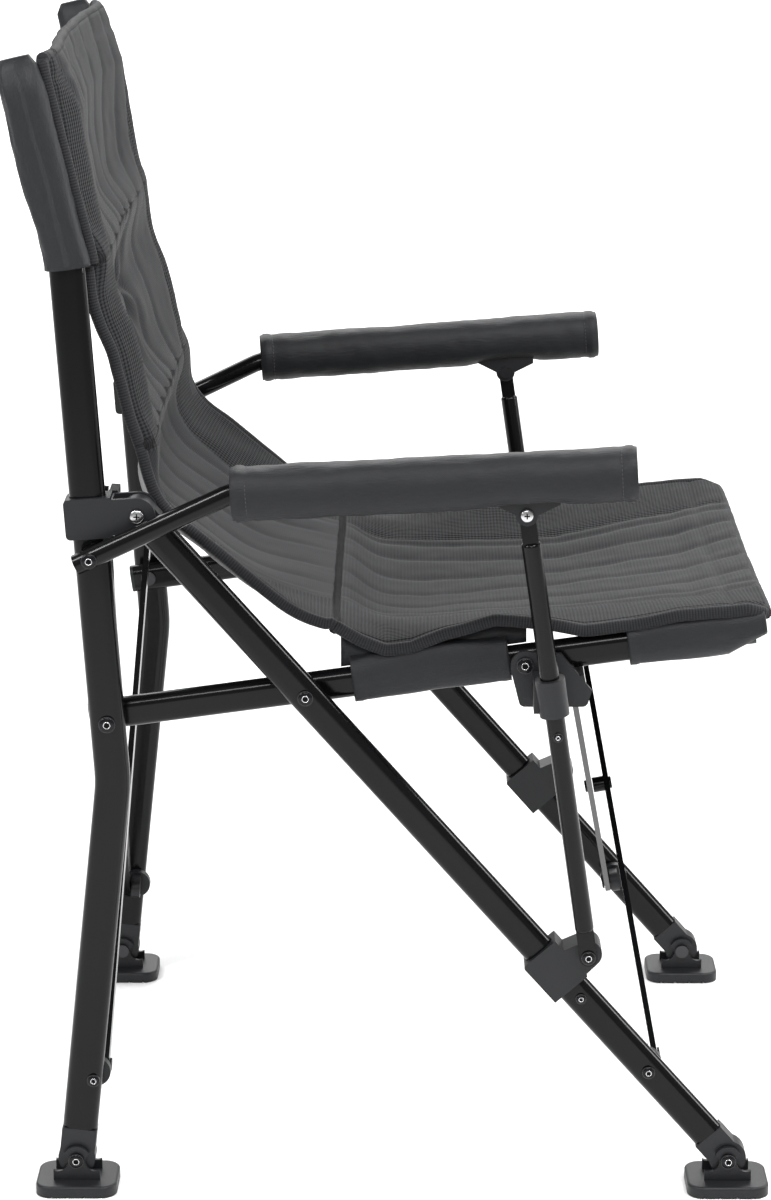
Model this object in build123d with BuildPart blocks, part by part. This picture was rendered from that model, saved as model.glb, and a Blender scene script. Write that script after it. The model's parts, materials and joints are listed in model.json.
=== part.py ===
"""Fold-up hard-arm camp chair: four tilting feet, sling seat and back, sliding collars and crossed bars."""

import os
from math import hypot

from build123d import *

os.makedirs("parts", exist_ok=True)

# driving dimensions, mm. Side-plane points are (y, z); the chair faces -Y, +Z is up
Y0 = -3.0                      # brings the bounding box centre to Y = 0
LEG_O, LEG_T = 261.0, 18.0     # leg plane from the middle, tube thickness across
REAR_D, FRONT_D = 30.0, 28.0   # leg tube depths
RAIL_O, RAIL_T, RAIL_D = 237.0, 16.0, 26.0
WALL = 1.5
PIN_R, BORE_R = 3.0, 3.05
ARM_R, POST_R = 8.5, 8.0
FOOT_Y, FOOT_Z = 280.5, 28.4   # foot pins
P1 = (246.6 + Y0, 418.0)       # rail pivot on the rear leg
S1 = (218.0 + Y0, 597.5)       # upper collar pin
P3 = (256.4 + Y0, 564.6)       # arm pivot
P4 = (-100.9 + Y0, 608.0)      # arm to post pivot
P5 = (-157.5 + Y0, 216.5)      # post to lower collar pivot
P6 = (-102.6 + Y0, 466.0)      # post bracket to rail screw
P2 = (80.77 + Y0, 440.83)      # rail beside the front leg
ARM_O3, ARM_O4, POST_O5 = 286.0, 308.0, 280.3
BAR_OB, BAR_OT, BAR_W, BAR_T = 232.0, 222.0, 18.0, 5.0
BAR_GAP = 5.4                  # bar face from the crossing plane
BACK_B, BACK_T = (264.5 + Y0, 100.0), (240.0 + Y0, 602.0)
FRONT_B, FRONT_T = (-211.0 + Y0, 107.7), (-150.0 + Y0, 446.92)
REAR_F, FRONT_F = (FOOT_Y + Y0, FOOT_Z), (-FOOT_Y + Y0, FOOT_Z)


def toward(p, q):
    """Unit side-plane direction from p to q."""
    d = hypot(q[0] - p[0], q[1] - p[1])
    return ((q[0] - p[0]) / d, (q[1] - p[1]) / d)


def along(p, d, t, n=0.0):
    """Point t along d from p and n to its left."""
    return (p[0] + d[0] * t - d[1] * n, p[1] + d[1] * t + d[0] * n)


def side(o, p, d=(1.0, 0.0)):
    """Side plane of the right half at distance o from the middle, local x along d, normal towards the middle."""
    return Plane(origin=(-o, p[0], p[1]), x_dir=(0, d[0], d[1]), z_dir=(1, 0, 0))


UP = toward((0, 0), (0.0659, 1.0))
DOWN = toward(S1, FRONT_F)
RAIL = toward(P1, (P1[0] - 100, P1[1] + 13.75))
REAR_LOW = toward(REAR_F, (243.2 + Y0, 365.0))
POST = toward(P5, P4)
LEG_LEN = hypot(FRONT_F[0] - S1[0], FRONT_F[1] - S1[1])

# ---------------------------------------------------------------- rear leg
with BuildPart() as right_rear_leg:
    with BuildLine(Plane.YZ.offset(-LEG_O)) as rear_path:
        FilletPolyline(
            along(REAR_F, REAR_LOW, 26.0),
            (243.2 + Y0, 365.0),
            (272.3 + Y0, 807.0),
            (307.4 + Y0, 955.0),
            radius=120,
        )
    with BuildSketch(Plane(origin=rear_path.line @ 0, x_dir=(1, 0, 0), z_dir=rear_path.line % 0)):
        SlotOverall(REAR_D, LEG_T, rotation=90)
        SlotOverall(REAR_D - 2 * WALL, LEG_T - 2 * WALL, rotation=90, mode=Mode.SUBTRACT)
    sweep()
    for spot in (P1, P3, BACK_B):
        with BuildSketch(side(LEG_O + 20, spot)):
            Circle(BORE_R)
        extrude(amount=40, mode=Mode.SUBTRACT)

with BuildPart() as right_rear_boot:
    with BuildSketch(side(LEG_O + LEG_T / 2, REAR_F, REAR_LOW)):
        Circle(16)
        with Locations((13, 0)):
            Rectangle(26, 30)
        Circle(4.05, mode=Mode.SUBTRACT)
    extrude(amount=LEG_T)

with BuildPart() as right_rear_rivets:
    # foot pin with heads
    with BuildSketch(side(278.4, REAR_F)):
        Circle(6.5)
    extrude(amount=2.6)
    with BuildSketch(side(276.0, REAR_F)):
        Circle(4)
    extrude(amount=31.0)
    with BuildSketch(side(245.6, REAR_F)):
        Circle(6.5)
    extrude(amount=2.2)
    # rail pivot: outer head, shank, spacer, inner head
    with BuildSketch(side(272.4, P1)):
        Circle(7)
    extrude(amount=2.4)
    with BuildSketch(side(270.5, P1)):
        Circle(PIN_R)
    extrude(amount=43.0)
    with BuildSketch(side(252.0, P1)):
        Circle(9)
    extrude(amount=6.7)
    with BuildSketch(side(228.7, P1)):
        Circle(7)
    extrude(amount=2.2)
    # arm pivot: outer head, shank, spacer, inner head
    with BuildSketch(side(297.3, P3)):
        Circle(6.5)
    extrude(amount=2.4)
    with BuildSketch(side(296.0, P3)):
        Circle(PIN_R)
    extrude(amount=45.5)
    with BuildSketch(side(277.2, P3)):
        Circle(7.5)
    extrude(amount=7.2)
    with BuildSketch(side(252.0, P3)):
        Circle(6)
    extrude(amount=2.2)
    # bracket rivet: outer head and shank
    with BuildSketch(side(272.2, BACK_B)):
        Circle(5.5)
    extrude(amount=2.2)
    with BuildSketch(side(270.5, BACK_B)):
        Circle(PIN_R)
    extrude(amount=25.0)

with BuildPart() as right_back_sleeve:
    with BuildLine(Plane.YZ.offset(-LEG_O)) as sleeve_path:
        FilletPolyline(
            (271.9 + Y0, 802.0), (272.3 + Y0, 808.0), (311.0 + Y0, 971.0), radius=20
        )
    with BuildSketch(Plane(origin=sleeve_path.line @ 0, x_dir=(1, 0, 0), z_dir=sleeve_path.line % 0)):
        SlotOverall(38, 27, rotation=90)
    sweep()
    with BuildLine(Plane.YZ.offset(-LEG_O)) as bore_path:
        FilletPolyline(
            (270.5 + Y0, 780.0), (272.3 + Y0, 807.0), (308.1 + Y0, 958.0), radius=120
        )
    with BuildSketch(Plane(origin=bore_path.line @ 0, x_dir=(1, 0, 0), z_dir=bore_path.line % 0)):
        SlotOverall(REAR_D + 3, LEG_T + 1.4, rotation=90)
    sweep(mode=Mode.SUBTRACT)

# ---------------------------------------------------------------- tilting feet
with BuildPart() as right_rear_foot:
    with BuildSketch(Plane(origin=(-LEG_O, REAR_F[0], 0), z_dir=(0, 0, 1))):
        RectangleRounded(60, 70, 14)
    extrude(amount=10)
    fillet(right_rear_foot.faces().sort_by(Axis.Z)[-1].edges(), 2.5)
    with BuildSketch(side(LEG_O + 14.0, REAR_F)):
        Circle(12)
        with Locations((0, -11)):
            Rectangle(40, 18)
        with Locations((16, -2), (-16, -2)):
            Circle(8.5, mode=Mode.SUBTRACT)
    extrude(amount=3.4)
    with BuildSketch(side(LEG_O - 10.6, REAR_F)):
        Circle(12)
        with Locations((0, -11)):
            Rectangle(40, 18)
        with Locations((16, -2), (-16, -2)):
            Circle(8.5, mode=Mode.SUBTRACT)
    extrude(amount=3.4)
    with BuildSketch(side(LEG_O + 20, REAR_F)):
        Circle(4.05)
    extrude(amount=40, mode=Mode.SUBTRACT)
    # tread grooves across the sole
    with BuildSketch(Plane(origin=(-LEG_O, REAR_F[0], 0), z_dir=(0, 0, 1))):
        with GridLocations(60, 14, 1, 4):
            Rectangle(64, 2)
    extrude(amount=1.2, mode=Mode.SUBTRACT)

with BuildPart() as right_front_foot:
    with BuildSketch(Plane(origin=(-LEG_O, FRONT_F[0], 0), z_dir=(0, 0, 1))):
        RectangleRounded(60, 70, 14)
    extrude(amount=10)
    fillet(right_front_foot.faces().sort_by(Axis.Z)[-1].edges(), 2.5)
    with BuildSketch(side(LEG_O + 14.0, FRONT_F)):
        Circle(12)
        with Locations((0, -11)):
            Rectangle(40, 18)
        with Locations((16, -2), (-16, -2)):
            Circle(8.5, mode=Mode.SUBTRACT)
    extrude(amount=3.4)
    with BuildSketch(side(LEG_O - 10.6, FRONT_F)):
        Circle(12)
        with Locations((0, -11)):
            Rectangle(40, 18)
        with Locations((16, -2), (-16, -2)):
            Circle(8.5, mode=Mode.SUBTRACT)
    extrude(amount=3.4)
    with BuildSketch(side(LEG_O + 20, FRONT_F)):
        Circle(4.05)
    extrude(amount=40, mode=Mode.SUBTRACT)
    with BuildSketch(Plane(origin=(-LEG_O, FRONT_F[0], 0), z_dir=(0, 0, 1))):
        with GridLocations(60, 14, 1, 4):
            Rectangle(64, 2)
    extrude(amount=1.2, mode=Mode.SUBTRACT)

# ---------------------------------------------------------------- seat rail
RAIL_BACK, RAIL_LEN = -14.0, 542.0
with BuildPart() as right_seat_rail:
    rail_start = along(P1, RAIL, RAIL_BACK)
    with BuildSketch(Plane(origin=(-RAIL_O, rail_start[0], rail_start[1]), x_dir=(1, 0, 0), z_dir=(0, RAIL[0], RAIL[1]))):
        SlotOverall(RAIL_D, RAIL_T, rotation=90)
        SlotOverall(RAIL_D - 2 * WALL, RAIL_T - 2 * WALL, rotation=90, mode=Mode.SUBTRACT)
    extrude(amount=RAIL_LEN - RAIL_BACK)
    with BuildSketch(side(RAIL_O + 20, P1)):
        Circle(BORE_R)
    extrude(amount=40, mode=Mode.SUBTRACT)

with BuildPart() as right_rail_plugs:
    rail_start = along(P1, RAIL, RAIL_BACK - 3.0)
    rail_end = along(P1, RAIL, RAIL_LEN)
    with BuildSketch(Plane(origin=(-RAIL_O, rail_start[0], rail_start[1]), x_dir=(1, 0, 0), z_dir=(0, RAIL[0], RAIL[1]))):
        SlotOverall(RAIL_D, RAIL_T, rotation=90)
    extrude(amount=3)
    with BuildSketch(Plane(origin=(-RAIL_O, rail_end[0], rail_end[1]), x_dir=(1, 0, 0), z_dir=(0, RAIL[0], RAIL[1]))):
        SlotOverall(RAIL_D, RAIL_T, rotation=90)
    extrude(amount=5)

with BuildPart() as right_rail_screws:
    for spot in (P2, P6):
        with BuildSketch(side(RAIL_O - RAIL_T / 2, spot)):
            Circle(5.5)
        extrude(amount=2.0)

with BuildPart() as right_rail_sleeves:
    for first, last in ((207.0, 340.0), (440.0, 540.0)):
        spot = along(P1, RAIL, first)
        with BuildSketch(Plane(origin=(-RAIL_O, spot[0], spot[1]), x_dir=(1, 0, 0), z_dir=(0, RAIL[0], RAIL[1]))):
            SlotOverall(RAIL_D + 6, RAIL_T + 5, rotation=90)
            SlotOverall(RAIL_D + 0.4, RAIL_T + 0.4, rotation=90, mode=Mode.SUBTRACT)
        extrude(amount=last - first)

# ---------------------------------------------------------------- upper collar
with BuildPart() as right_upper_collar:
    with BuildSketch(side(275.0, S1, UP)):
        with Locations((0, -40.3)):
            Rectangle(34, 39)
        with Locations((0, -20)):
            Rectangle(30, 20)
        Circle(15)
        with Locations((0, -14)):
            Rectangle(30, 28)
    extrude(amount=28)
    fillet(right_upper_collar.edges().filter_by(Axis.X).sort_by(Axis.Y)[-2:], 4.0)
    with BuildSketch(Plane(origin=(-LEG_O, *along(S1, UP, -30, -40.34)), x_dir=(1, 0, 0), z_dir=(0, UP[0], UP[1]))):
        SlotOverall(REAR_D + 0.8, LEG_T + 0.8, rotation=90)
    extrude(amount=60, mode=Mode.SUBTRACT)
    # gap between the ears for the front leg's end
    with BuildSketch(side(LEG_O + 9.6, S1, UP)):
        with Locations((0, 0)):
            Rectangle(40, 38)
    extrude(amount=19.2, mode=Mode.SUBTRACT)
    with BuildSketch(side(280, S1)):
        Circle(BORE_R)
    extrude(amount=40, mode=Mode.SUBTRACT)
    # inner lug for the crossed bar
    lug = toward(BACK_B, BACK_T)
    with BuildSketch(Plane(origin=(-(BAR_OT + 25), *along(BACK_T, lug, 0, 4.0)), x_dir=(1, 0, 0), z_dir=(0, lug[1], -lug[0]))):
        with Locations((12.5, 0)):
            Rectangle(25, 22)
        with Locations((25, 0)):
            Circle(11)
    extrude(amount=7)

with BuildPart() as right_upper_pins:
    with BuildSketch(side(277.2, S1)):
        Circle(6)
    extrude(amount=2.2)
    with BuildSketch(side(276.0, S1)):
        Circle(PIN_R)
    extrude(amount=30.0)
    with BuildSketch(side(247.0, S1)):
        Circle(6)
    extrude(amount=2.2)

# ---------------------------------------------------------------- front leg
with BuildPart() as right_front_leg:
    leg_start = along(S1, DOWN, 14.0)
    with BuildSketch(Plane(origin=(-LEG_O, leg_start[0], leg_start[1]), x_dir=(1, 0, 0), z_dir=(0, DOWN[0], DOWN[1]))):
        SlotOverall(FRONT_D, LEG_T, rotation=90)
        SlotOverall(FRONT_D - 2 * WALL, LEG_T - 2 * WALL, rotation=90, mode=Mode.SUBTRACT)
    extrude(amount=LEG_LEN - 40.0)
    with BuildSketch(side(LEG_O + 20, FRONT_B)):
        Circle(BORE_R)
    extrude(amount=40, mode=Mode.SUBTRACT)

with BuildPart() as right_front_boots:
    with BuildSketch(side(LEG_O + LEG_T / 2, FRONT_F, (-DOWN[0], -DOWN[1]))):
        Circle(16)
        with Locations((13, 0)):
            Rectangle(26, FRONT_D)
        Circle(4.05, mode=Mode.SUBTRACT)
    extrude(amount=LEG_T)
    # rounded cap on the upper end
    with BuildSketch(side(LEG_O + LEG_T / 2, S1, DOWN)):
        Circle(FRONT_D / 2)
        with Locations((7, 0)):
            Rectangle(14, FRONT_D)
        Circle(BORE_R, mode=Mode.SUBTRACT)
    extrude(amount=LEG_T)

with BuildPart() as right_front_rivets:
    with BuildSketch(side(278.4, FRONT_F)):
        Circle(6.5)
    extrude(amount=2.6)
    with BuildSketch(side(276.0, FRONT_F)):
        Circle(4)
    extrude(amount=31.0)
    with BuildSketch(side(245.6, FRONT_F)):
        Circle(6.5)
    extrude(amount=2.2)
    # screw head beside the rail, stop rivet below the lower collar
    with BuildSketch(side(272.2, P2)):
        Circle(6.5)
    extrude(amount=2.2)
    with BuildSketch(side(271.8, along(S1, DOWN, 562.0))):
        Circle(4.5)
    extrude(amount=1.8)
    # bracket rivet
    with BuildSketch(side(272.2, FRONT_B)):
        Circle(5.5)
    extrude(amount=2.2)
    with BuildSketch(side(270.5, FRONT_B)):
        Circle(PIN_R)
    extrude(amount=25.0)

# ---------------------------------------------------------------- lower collar
with BuildPart() as right_lower_collar:
    mid = along(S1, DOWN, 528.0)
    ear = (P5[0] - mid[0], P5[1] - mid[1])
    ear_x = ear[0] * DOWN[0] + ear[1] * DOWN[1]
    ear_y = -ear[0] * DOWN[1] + ear[1] * DOWN[0]
    with BuildSketch(side(275.0, mid, DOWN)):
        Rectangle(42, FRONT_D + 8)
        with BuildLine():
            Polyline((-16, 0), (ear_x - 12, ear_y), (ear_x + 12, ear_y), (20, 0), close=True)
        make_face()
        with Locations((ear_x, ear_y)):
            Circle(12)
    extrude(amount=28)
    fillet(right_lower_collar.edges().filter_by(Axis.X).sort_by(Axis.Y)[-1:], 3.0)
    with BuildSketch(Plane(origin=(-LEG_O, *along(mid, DOWN, -30)), x_dir=(1, 0, 0), z_dir=(0, DOWN[0], DOWN[1]))):
        SlotOverall(FRONT_D + 0.8, LEG_T + 0.8, rotation=90)
    extrude(amount=60, mode=Mode.SUBTRACT)

# ---------------------------------------------------------------- arm
A1, A2 = (136.0 + Y0, 622.0), (-184.0 + Y0, 642.6)
ARM_DIR = toward(A1, A2)
with BuildPart() as right_arm_tube:
    with BuildLine() as arm_path:
        FilletPolyline(
            (-ARM_O3 + 0.3, *along(P3, toward(P3, A1), -13.0)),
            (-291.0, *A1),
            (-315.0, *A2),
            radius=55,
        )
    with BuildSketch(Plane(origin=arm_path.line @ 0, x_dir=(1, 0, 0), z_dir=arm_path.line % 0)):
        Circle(ARM_R)
    sweep()
    with BuildLine() as arm_bore:
        FilletPolyline(
            (-ARM_O3 + 0.2, *along(P3, toward(P3, A1), -9.0)),
            (-291.0, *A1),
            (-315.1, *along(A1, ARM_DIR, 325.0)),
            radius=55,
        )
    with BuildSketch(Plane(origin=arm_bore.line @ 0, x_dir=(1, 0, 0), z_dir=arm_bore.line % 0)):
        Circle(ARM_R - WALL)
    sweep(mode=Mode.SUBTRACT)
    with BuildSketch(side(ARM_O3 + 20, P3)):
        Circle(BORE_R)
    extrude(amount=40, mode=Mode.SUBTRACT)

with BuildPart() as right_arm_clip:
    with BuildSketch(side(317.0, P4)):
        Circle(9)
        with BuildLine():
            Polyline((-9, 0), (-27, 9), (-27, 25), (27, 25), (27, 9), (9, 0), close=True)
        make_face()
    extrude(amount=18)
    fillet(right_arm_clip.edges().filter_by(Axis.X).sort_by(Axis.Z)[-2:], 3.0)
    with BuildSketch(side(311.6, P4)):
        with Locations((0, -2)):
            Rectangle(60, 20)
    extrude(amount=7.2, mode=Mode.SUBTRACT)
    with BuildSketch(side(330, P4)):
        Circle(BORE_R)
    extrude(amount=50, mode=Mode.SUBTRACT)
    with BuildSketch(Plane(origin=(-291.0, *A1), x_dir=(1, 0, 0), z_dir=(-24.0 / 320.7, ARM_DIR[0], ARM_DIR[1]))):
        Circle(ARM_R + 0.1)
    extrude(amount=330, mode=Mode.SUBTRACT)

with BuildPart() as right_arm_screws:
    with BuildSketch(side(319.2, P4)):
        Circle(5.5)
    extrude(amount=2.2)
    with BuildSketch(side(318.0, P4)):
        Circle(PIN_R)
    extrude(amount=20.0)
    with BuildSketch(side(299.0, P4)):
        Circle(5.5)
    extrude(amount=2.2)

with BuildPart() as right_arm_pad:
    with BuildSketch(Plane(origin=(-301.0, *along(A1, ARM_DIR, -2.0)), x_dir=(1, 0, 0), z_dir=(-16.0 / 326.0, ARM_DIR[0], ARM_DIR[1]))):
        RectangleRounded(44, 44, 16)
    extrude(amount=328)
    with BuildSketch(Plane(origin=(-291.0, *A1), x_dir=(1, 0, 0), z_dir=(-24.0 / 320.7, ARM_DIR[0], ARM_DIR[1]))):
        Circle(ARM_R + 0.4)
    extrude(amount=321.5, mode=Mode.SUBTRACT)
    with BuildLine() as pad_bore:
        FilletPolyline(
            (-ARM_O3 + 0.3, *along(P3, toward(P3, A1), -13.0)),
            (-291.0, *A1),
            (-296.0, *along(A1, ARM_DIR, 64.0)),
            radius=55,
        )
    with BuildSketch(Plane(origin=pad_bore.line @ 0, x_dir=(1, 0, 0), z_dir=pad_bore.line % 0)):
        Circle(ARM_R + 0.8)
    sweep(mode=Mode.SUBTRACT)
    with BuildSketch(side(317.6, P4)):
        with Locations((0, 9)):
            Rectangle(55.2, 33)
    extrude(amount=19.2, mode=Mode.SUBTRACT)

# ---------------------------------------------------------------- post
POST_LEN = hypot(P4[0] - P5[0], P4[1] - P5[1])
POST_RISE = (ARM_O4 - POST_O5) / POST_LEN
with BuildPart() as right_arm_post:
    low = along(P5, POST, 24.0)
    with BuildSketch(Plane(origin=(-(POST_O5 + 24 * POST_RISE), low[0], low[1]), x_dir=(1, 0, 0), z_dir=(-POST_RISE, POST[0], POST[1]))):
        Circle(POST_R)
    extrude(amount=POST_LEN - 48.0)
    fillet(right_arm_post.edges(), 3.0)
    with BuildSketch(side(POST_O5 + 3.0, P5, POST)):
        Circle(8)
        with Locations((18, 0)):
            Rectangle(36, 15)
    extrude(amount=6)
    with BuildSketch(side(ARM_O4 + 3.0, P4, (-POST[0], -POST[1]))):
        Circle(6.5)
        with Locations((16, 0)):
            Rectangle(32, 13)
        Circle(BORE_R, mode=Mode.SUBTRACT)
    extrude(amount=6)

# plate beside the rail, web, ring round the post, and a lug whose front face is n ahead of the crossing plane;
# the left lug stands ahead of its bar
post_brackets = []
for front, n, thickness in (
    ([(-52, -36), (-56, -22)], 4.0, 8.0),
    ([(-58, -36), (-66, -26), (-65, -12)], BAR_GAP + BAR_T + 7.5, 6.0),
):
    ring = along(P5, POST, 236.0)
    ring_o = POST_O5 + 236.0 * POST_RISE
    lug = toward(FRONT_B, FRONT_T)
    with BuildPart() as bracket:
        with BuildSketch(side(258.5, P6)):
            with BuildLine():
                Polyline((12, 0), (12, -4), (4, -36), *front, (-30, 10), (-6, 11), (6, 10), close=True)
            make_face()
            Circle(12)
        extrude(amount=4.7)
        fillet(bracket.edges().filter_by(Axis.X).sort_by(Axis.Z)[:2], 5.0)
        with BuildSketch(side(ring_o, ring)):
            with Locations((8, -2)):
                Rectangle(14, 26)
        extrude(amount=ring_o - 258.5)
        with BuildSketch(Plane(origin=(-(ring_o - 16 * POST_RISE), *along(ring, POST, -16.0)), x_dir=(1, 0, 0), z_dir=(-POST_RISE, POST[0], POST[1]))):
            Circle(12.5)
        extrude(amount=32)
        with BuildSketch(Plane(origin=(-(BAR_OT + 31), *along(FRONT_T, lug, 0, n)), x_dir=(1, 0, 0), z_dir=(0, lug[1], -lug[0]))):
            with Locations((13, 0)):
                Rectangle(36, 20)
            with Locations((31, 0)):
                Circle(10)
        extrude(amount=thickness)
        with BuildSketch(Plane(origin=(-(POST_O5 + 180 * POST_RISE), *along(P5, POST, 180.0)), x_dir=(1, 0, 0), z_dir=(-POST_RISE, POST[0], POST[1]))):
            Circle(POST_R + 0.05)
        extrude(amount=110, mode=Mode.SUBTRACT)
    post_brackets.append(bracket)
right_post_bracket = post_brackets[0]
with BuildPart() as left_post_bracket:
    mirror(post_brackets[1].part, about=Plane.YZ)

with BuildPart() as right_post_rivets:
    # lower end rivet, outer head
    with BuildSketch(side(POST_O5 + 5.2, P5)):
        Circle(6)
    extrude(amount=2.2)
    # rail screw, outer head
    with BuildSketch(side(260.9, P6)):
        Circle(7)
    extrude(amount=2.4)
    # stop rivet below the ring
    stop = along(P5, POST, 202.0)
    stop_o = POST_O5 + 202.0 * POST_RISE + POST_R
    with BuildSketch(side(stop_o + 1.6, stop)):
        Circle(4)
    extrude(amount=3.4)
    with BuildSketch(Plane(origin=(-(POST_O5 + 180 * POST_RISE), *along(P5, POST, 180.0)), x_dir=(1, 0, 0), z_dir=(-POST_RISE, POST[0], POST[1]))):
        Circle(POST_R)
    extrude(amount=50, mode=Mode.SUBTRACT)

# ---------------------------------------------------------------- crossed bar brackets
BACK_D, FRONT_DIR = toward(BACK_B, BACK_T), toward(FRONT_B, FRONT_T)
with BuildPart() as right_back_bracket:
    with BuildSketch(side(251.3, BACK_B)):
        Circle(13)
    extrude(amount=8.5)
    with BuildSketch(side(265, BACK_B)):
        Circle(BORE_R)
    extrude(amount=20.2, mode=Mode.SUBTRACT)
    with BuildSketch(Plane(origin=(-244.0, *along(BACK_B, BACK_D, 0, 4.0)), x_dir=(1, 0, 0), z_dir=(0, BACK_D[1], -BACK_D[0]))):
        with Locations((6, 0)):
            Rectangle(12, 20)
        with Locations((12, 0)):
            Circle(10)
    extrude(amount=8)
    # right bar pin points forward
    with BuildSketch(Plane(origin=(-BAR_OB, *along(BACK_B, BACK_D, 0, 3.0)), x_dir=(1, 0, 0), z_dir=(0, -BACK_D[1], BACK_D[0]))):
        Circle(PIN_R)
    extrude(amount=BAR_GAP + BAR_T - 1.2)
    with BuildSketch(Plane(origin=(-BAR_OB, *along(BACK_B, BACK_D, 0, BAR_GAP + BAR_T + 0.3)), x_dir=(1, 0, 0), z_dir=(0, -BACK_D[1], BACK_D[0]))):
        Circle(5.5)
    extrude(amount=2.0)

with BuildPart() as left_back_bracket:
    with BuildSketch(side(251.3, BACK_B)):
        Circle(13)
    extrude(amount=8.5)
    with BuildSketch(side(265, BACK_B)):
        Circle(BORE_R)
    extrude(amount=20.2, mode=Mode.SUBTRACT)
    with BuildSketch(Plane(origin=(-244.0, *along(BACK_B, BACK_D, 0, 4.0)), x_dir=(1, 0, 0), z_dir=(0, BACK_D[1], -BACK_D[0]))):
        with Locations((6, 0)):
            Rectangle(12, 20)
        with Locations((12, 0)):
            Circle(10)
    extrude(amount=8)
    # left bar pin points backward
    with BuildSketch(Plane(origin=(-BAR_OB, *along(BACK_B, BACK_D, 0, -3.0)), x_dir=(1, 0, 0), z_dir=(0, BACK_D[1], -BACK_D[0]))):
        Circle(PIN_R)
    extrude(amount=BAR_GAP + BAR_T - 1.2)
    with BuildSketch(Plane(origin=(-BAR_OB, *along(BACK_B, BACK_D, 0, -BAR_GAP - BAR_T - 0.3)), x_dir=(1, 0, 0), z_dir=(0, BACK_D[1], -BACK_D[0]))):
        Circle(5.5)
    extrude(amount=2.0)
    mirror(left_back_bracket.part, about=Plane.YZ, mode=Mode.REPLACE)

with BuildPart() as right_front_bracket:
    with BuildSketch(side(251.3, FRONT_B)):
        Circle(13)
    extrude(amount=8.5)
    with BuildSketch(side(265, FRONT_B)):
        Circle(BORE_R)
    extrude(amount=20.2, mode=Mode.SUBTRACT)
    with BuildSketch(Plane(origin=(-244.0, *along(FRONT_B, FRONT_DIR, 0, 4.0)), x_dir=(1, 0, 0), z_dir=(0, FRONT_DIR[1], -FRONT_DIR[0]))):
        with Locations((6, 0)):
            Rectangle(12, 20)
        with Locations((12, 0)):
            Circle(10)
    extrude(amount=8)
    with BuildSketch(Plane(origin=(-BAR_OB, *along(FRONT_B, FRONT_DIR, 0, 3.0)), x_dir=(1, 0, 0), z_dir=(0, -FRONT_DIR[1], FRONT_DIR[0]))):
        Circle(PIN_R)
    extrude(amount=BAR_GAP + BAR_T - 1.2)
    with BuildSketch(Plane(origin=(-BAR_OB, *along(FRONT_B, FRONT_DIR, 0, BAR_GAP + BAR_T + 0.3)), x_dir=(1, 0, 0), z_dir=(0, -FRONT_DIR[1], FRONT_DIR[0]))):
        Circle(5.5)
    extrude(amount=2.0)

with BuildPart() as left_front_bracket:
    with BuildSketch(side(251.3, FRONT_B)):
        Circle(13)
    extrude(amount=8.5)
    with BuildSketch(side(265, FRONT_B)):
        Circle(BORE_R)
    extrude(amount=20.2, mode=Mode.SUBTRACT)
    with BuildSketch(Plane(origin=(-244.0, *along(FRONT_B, FRONT_DIR, 0, 4.0)), x_dir=(1, 0, 0), z_dir=(0, FRONT_DIR[1], -FRONT_DIR[0]))):
        with Locations((6, 0)):
            Rectangle(12, 20)
        with Locations((12, 0)):
            Circle(10)
    extrude(amount=8)
    with BuildSketch(Plane(origin=(-BAR_OB, *along(FRONT_B, FRONT_DIR, 0, -3.0)), x_dir=(1, 0, 0), z_dir=(0, FRONT_DIR[1], -FRONT_DIR[0]))):
        Circle(PIN_R)
    extrude(amount=BAR_GAP + BAR_T - 1.2)
    with BuildSketch(Plane(origin=(-BAR_OB, *along(FRONT_B, FRONT_DIR, 0, -BAR_GAP - BAR_T - 0.3)), x_dir=(1, 0, 0), z_dir=(0, FRONT_DIR[1], -FRONT_DIR[0]))):
        Circle(5.5)
    extrude(amount=2.0)
    mirror(left_front_bracket.part, about=Plane.YZ, mode=Mode.REPLACE)

# ---------------------------------------------------------------- crossed bars
# each right bar runs from its right lower bracket to the left upper lug, ahead of the crossing plane
BAR_SPAN = BAR_OB + BAR_OT
BACK_L = hypot(BAR_SPAN, hypot(BACK_T[0] - BACK_B[0], BACK_T[1] - BACK_B[1]))
FRONT_L = hypot(BAR_SPAN, hypot(FRONT_T[0] - FRONT_B[0], FRONT_T[1] - FRONT_B[1]))
with BuildPart() as right_back_bar:
    fx, fz = BAR_SPAN / BACK_L, hypot(BACK_T[0] - BACK_B[0], BACK_T[1] - BACK_B[1]) / BACK_L
    face = Plane(origin=(-BAR_OB, *along(BACK_B, BACK_D, 0, BAR_GAP)), x_dir=(fx, BACK_D[0] * fz, BACK_D[1] * fz), z_dir=(0, -BACK_D[1], BACK_D[0]))
    half = BAR_OB / fx
    with BuildSketch(face):
        with Locations((BACK_L / 2, 0)):
            SlotCenterToCenter(BACK_L, BAR_W)
        Circle(BORE_R, mode=Mode.SUBTRACT)
    extrude(amount=BAR_T)
    with BuildSketch(face.offset(BAR_T)):
        with Locations((BACK_L, 0), (half, 0)):
            Circle(5.5)
    extrude(amount=2.0)
    with BuildSketch(face.offset(-10.3)):
        with Locations((half, 0)):
            Circle(7)
    extrude(amount=10.3)

with BuildPart() as left_back_bar:
    face = Plane(origin=(BAR_OB, *along(BACK_B, BACK_D, 0, -BAR_GAP)), x_dir=(-fx, BACK_D[0] * fz, BACK_D[1] * fz), z_dir=(0, BACK_D[1], -BACK_D[0]))
    with BuildSketch(face):
        with Locations((BACK_L / 2, 0)):
            SlotCenterToCenter(BACK_L, BAR_W)
        Circle(BORE_R, mode=Mode.SUBTRACT)
    extrude(amount=BAR_T)
    with BuildSketch(face.offset(BAR_T)):
        with Locations((BACK_L, 0), (half, 0)):
            Circle(5.5)
    extrude(amount=2.0)

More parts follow.
